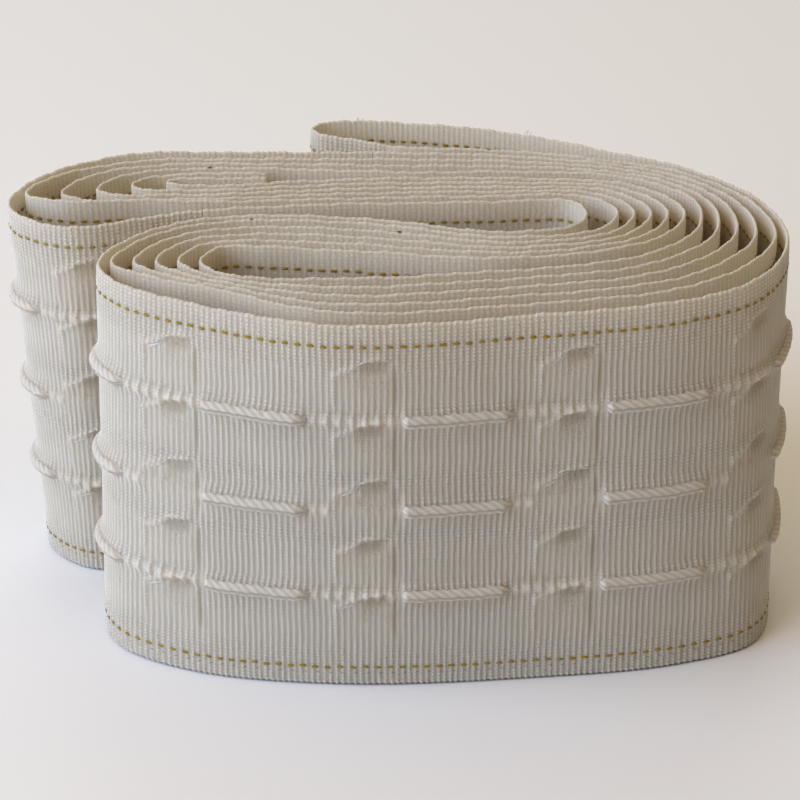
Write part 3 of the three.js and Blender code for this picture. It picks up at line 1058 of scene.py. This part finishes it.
def set_camera(scene):
    """A camera that looks down on the roll's front."""
    view = bpy.data.cameras.new("photo_view")
    view.lens = LENS
    view.sensor_width = SENSOR
    view.clip_start = 0.01
    camera = bpy.data.objects.new("photo_view", view)
    camera.location = CAMERA_PLACE
    camera.rotation_euler = (math.radians(CAMERA_TILT), 0, 0)
    scene.collection.objects.link(camera)
    scene.camera = camera


def length_setting(name, description, default):
    """A size in metres that a user can change."""
    return bpy.props.FloatProperty(
        name=name,
        description=description,
        default=default,
        min=0.0,
        precision=5,
        unit="LENGTH",
        subtype="DISTANCE",
    )


def colour_setting(name, description, default):
    """A colour that a user can change."""
    return bpy.props.FloatVectorProperty(
        name=name,
        description=description,
        default=default,
        min=0.0,
        max=1.0,
        size=3,
        subtype="COLOR",
    )


class HeadingTapeSettings(bpy.types.PropertyGroup):
    """Sizes and colours of the heading tape."""

    rib_pitch: length_setting(
        "Rib pitch", "Distance from rib to rib along the band", REPEAT * MM / RIBS_PER_REPEAT
    )
    rib_height: length_setting("Rib height", "How far a rib stands out of the band", 0.0002)
    marker_pitch: length_setting(
        "Stitch pitch", "Distance between two marker stitches", REPEAT * MM / STITCHES_PER_REPEAT
    )
    marker_length: length_setting("Stitch length", "Length of one marker stitch", 0.00122)
    cord_radius: length_setting("Cord radius", "Radius of a draw cord in its floats", 0.0013)
    cord_lead: length_setting("Cord lead", "Length of one full twist of a draw cord", 0.009)
    cloth_light: colour_setting("Ribs", "Colour of the ribs", (0.66, 0.59, 0.485))
    # Painted shade between the ribs
    painted_groove_shade: colour_setting("Between ribs", "Colour between two ribs", (0.535, 0.47, 0.376))
    # Painted highlight on the beads
    painted_bead_highlight: colour_setting("Beads", "Colour of the beads on the ribs", (0.79, 0.725, 0.625))
    # Painted tan shade in the mouths, along one border and over held cords; also the patches' own
    # slight tan
    shade_and_patch_tan: colour_setting("Hollows", "Colour in the pockets' mouths", (0.46, 0.378, 0.275))
    cord_light: colour_setting("Plies", "Colour of the cords' plies", (0.75, 0.685, 0.58))
    # Painted shade between the plies
    painted_ply_shade: colour_setting("Between plies", "Colour between two plies", (0.6, 0.535, 0.445))
    marker_colour: colour_setting("Stitches", "Colour of the marker stitches", (0.48, 0.325, 0.04))


class HEADINGTAPE_OT_weave_band(bpy.types.Operator):
    """Weaves the whole band over the winding of its solid"""

    bl_idname = "heading_tape.weave_band"
    bl_label = "Weave Band"

    def execute(self, context):
        settings = context.scene.heading_tape
        for name, start, end, detailed in RUNS:
            weave_run(name, start, end, detailed, settings, woven_cloth(settings))
        return {"FINISHED"}


class HEADINGTAPE_OT_thread_cords(bpy.types.Operator):
    """Threads the three twisted draw cords through the outermost turn"""

    bl_idname = "heading_tape.thread_cords"
    bl_label = "Thread Draw Cords"

    def execute(self, context):
        settings = context.scene.heading_tape
        for name, level in CORD_HEIGHTS.items():
            rings, run = cord_rings(level, settings)
            make_piece(
                f"twisted_cord_{name}",
                [rings],
                cord_yarn(settings),
                [f"draw_cord_{name}"],
                {"run": run},
            )
        return {"FINISHED"}


class HEADINGTAPE_OT_bridge_mouths(bpy.types.Operator):
    """Lays the raised threads over the mouths of the pockets"""

    bl_idname = "heading_tape.bridge_mouths"
    bl_label = "Bridge Pocket Mouths"

    def execute(self, context):
        settings = context.scene.heading_tape
        chance = np.random.default_rng(7)
        threads = []
        for column in shown_columns():
            for mouth in POCKET_MOUTHS:
                for along_a, up_a, along_b, up_b, arch, radius in MOUTH_THREADS:
                    stray = chance.normal(0, THREAD_SPREAD, 4)
                    stray[1::2] *= THREAD_FLATNESS
                    start = (column + along_a + stray[0], mouth + up_a + stray[1])
                    end = (column + along_b + stray[2], mouth + up_b + stray[3])
                    lifted = arch * chance.uniform(0.7, 1.2)
                    threads.append(bridge(start, end, lifted, radius))
        yarn = cord_yarn(settings)
        make_piece("mouth_threads", threads, yarn, (), unmarked(threads))
        return {"FINISHED"}


class HEADINGTAPE_OT_stitch_markers(bpy.types.Operator):
    """Stitches the two dashed marker lines along the band"""

    bl_idname = "heading_tape.stitch_markers"
    bl_label = "Stitch Marker Lines"

    def execute(self, context):
        settings = context.scene.heading_tape
        material = marker_yarn(settings)
        pitch = settings.marker_pitch / MM
        length = settings.marker_length / MM
        lift = 0.8 * settings.rib_height / MM
        chance = np.random.default_rng(13)
        first = math.ceil(WINDING.travelled[0] / pitch) + 1
        last = math.floor(WINDING.travelled[-1] / pitch) - 1
        low, high = MARKER_HEIGHTS
        for label, side in (("face", 1), ("back", -1)):
            dashes = []
            for count in range(first, last):
                middle = (count + BACK_SHIFT * (side < 0)) * pitch
                long = length * chance.uniform(*STITCH_LENGTHS)
                wander = chance.normal(0, STITCH_WANDER, 2)
                dashes.append(stitch(middle, long, high + wander[0], side, lift))
                if side > 0 and OUTER_FROM < middle < OUTER_TO:
                    dashes.append(stitch(middle, long, low + wander[1], side, lift))
            make_piece(f"marker_stitches_{label}", dashes, material)
        return {"FINISHED"}


class HEADINGTAPE_OT_add_lint(bpy.types.Operator):
    """Adds the curls of lint and the dark specks on the upper edges"""

    bl_idname = "heading_tape.add_lint"
    bl_label = "Add Lint and Specks"

    def execute(self, context):
        settings = context.scene.heading_tape
        lint = [curl(*row) for row in LINT]
        make_piece("lint", lint, cord_yarn(settings), (), unmarked(lint))
        for name, colour, *row in SPECKS:
            make_piece(name, [fleck(*row)], speck_finish(name, colour))
        return {"FINISHED"}


class HEADINGTAPE_OT_set_stage(bpy.types.Operator):
    """Sets the plain pale floor, the soft lights and the camera"""

    bl_idname = "heading_tape.set_stage"
    bl_label = "Set Stage"

    def execute(self, context):
        context.scene.view_settings.view_transform = "Standard"
        lay_floor(context.scene)
        light_room(context.scene)
        hang_lamps(context.scene)
        set_camera(context.scene)
        return {"FINISHED"}


class HEADINGTAPE_PT_sidebar(bpy.types.Panel):
    """Lists the steps that dress the roll"""

    bl_idname = "HEADINGTAPE_PT_sidebar"
    bl_label = "Heading Tape Roll"
    bl_space_type = "VIEW_3D"
    bl_region_type = "UI"
    bl_category = "Heading Tape"

    def draw(self, context):
        settings = context.scene.heading_tape
        for name in HeadingTapeSettings.__annotations__:
            self.layout.prop(settings, name)
        for step in STEPS:
            self.layout.operator(step.bl_idname)


STEPS = (
    HEADINGTAPE_OT_set_stage,
    HEADINGTAPE_OT_weave_band,
    HEADINGTAPE_OT_thread_cords,
    HEADINGTAPE_OT_bridge_mouths,
    HEADINGTAPE_OT_stitch_markers,
    HEADINGTAPE_OT_add_lint,
)
CLASSES = (HeadingTapeSettings, *STEPS, HEADINGTAPE_PT_sidebar)


def register():
    for each in CLASSES:
        bpy.utils.register_class(each)
    bpy.types.Scene.heading_tape = bpy.props.PointerProperty(type=HeadingTapeSettings)


def unregister():
    del bpy.types.Scene.heading_tape
    for each in reversed(CLASSES):
        bpy.utils.unregister_class(each)


def main():
    register()
    bpy.ops.heading_tape.set_stage()
    bpy.ops.heading_tape.weave_band()
    bpy.ops.heading_tape.thread_cords()
    bpy.ops.heading_tape.bridge_mouths()
    bpy.ops.heading_tape.stitch_markers()
    bpy.ops.heading_tape.add_lint()


if __name__ == "__main__":
    main()
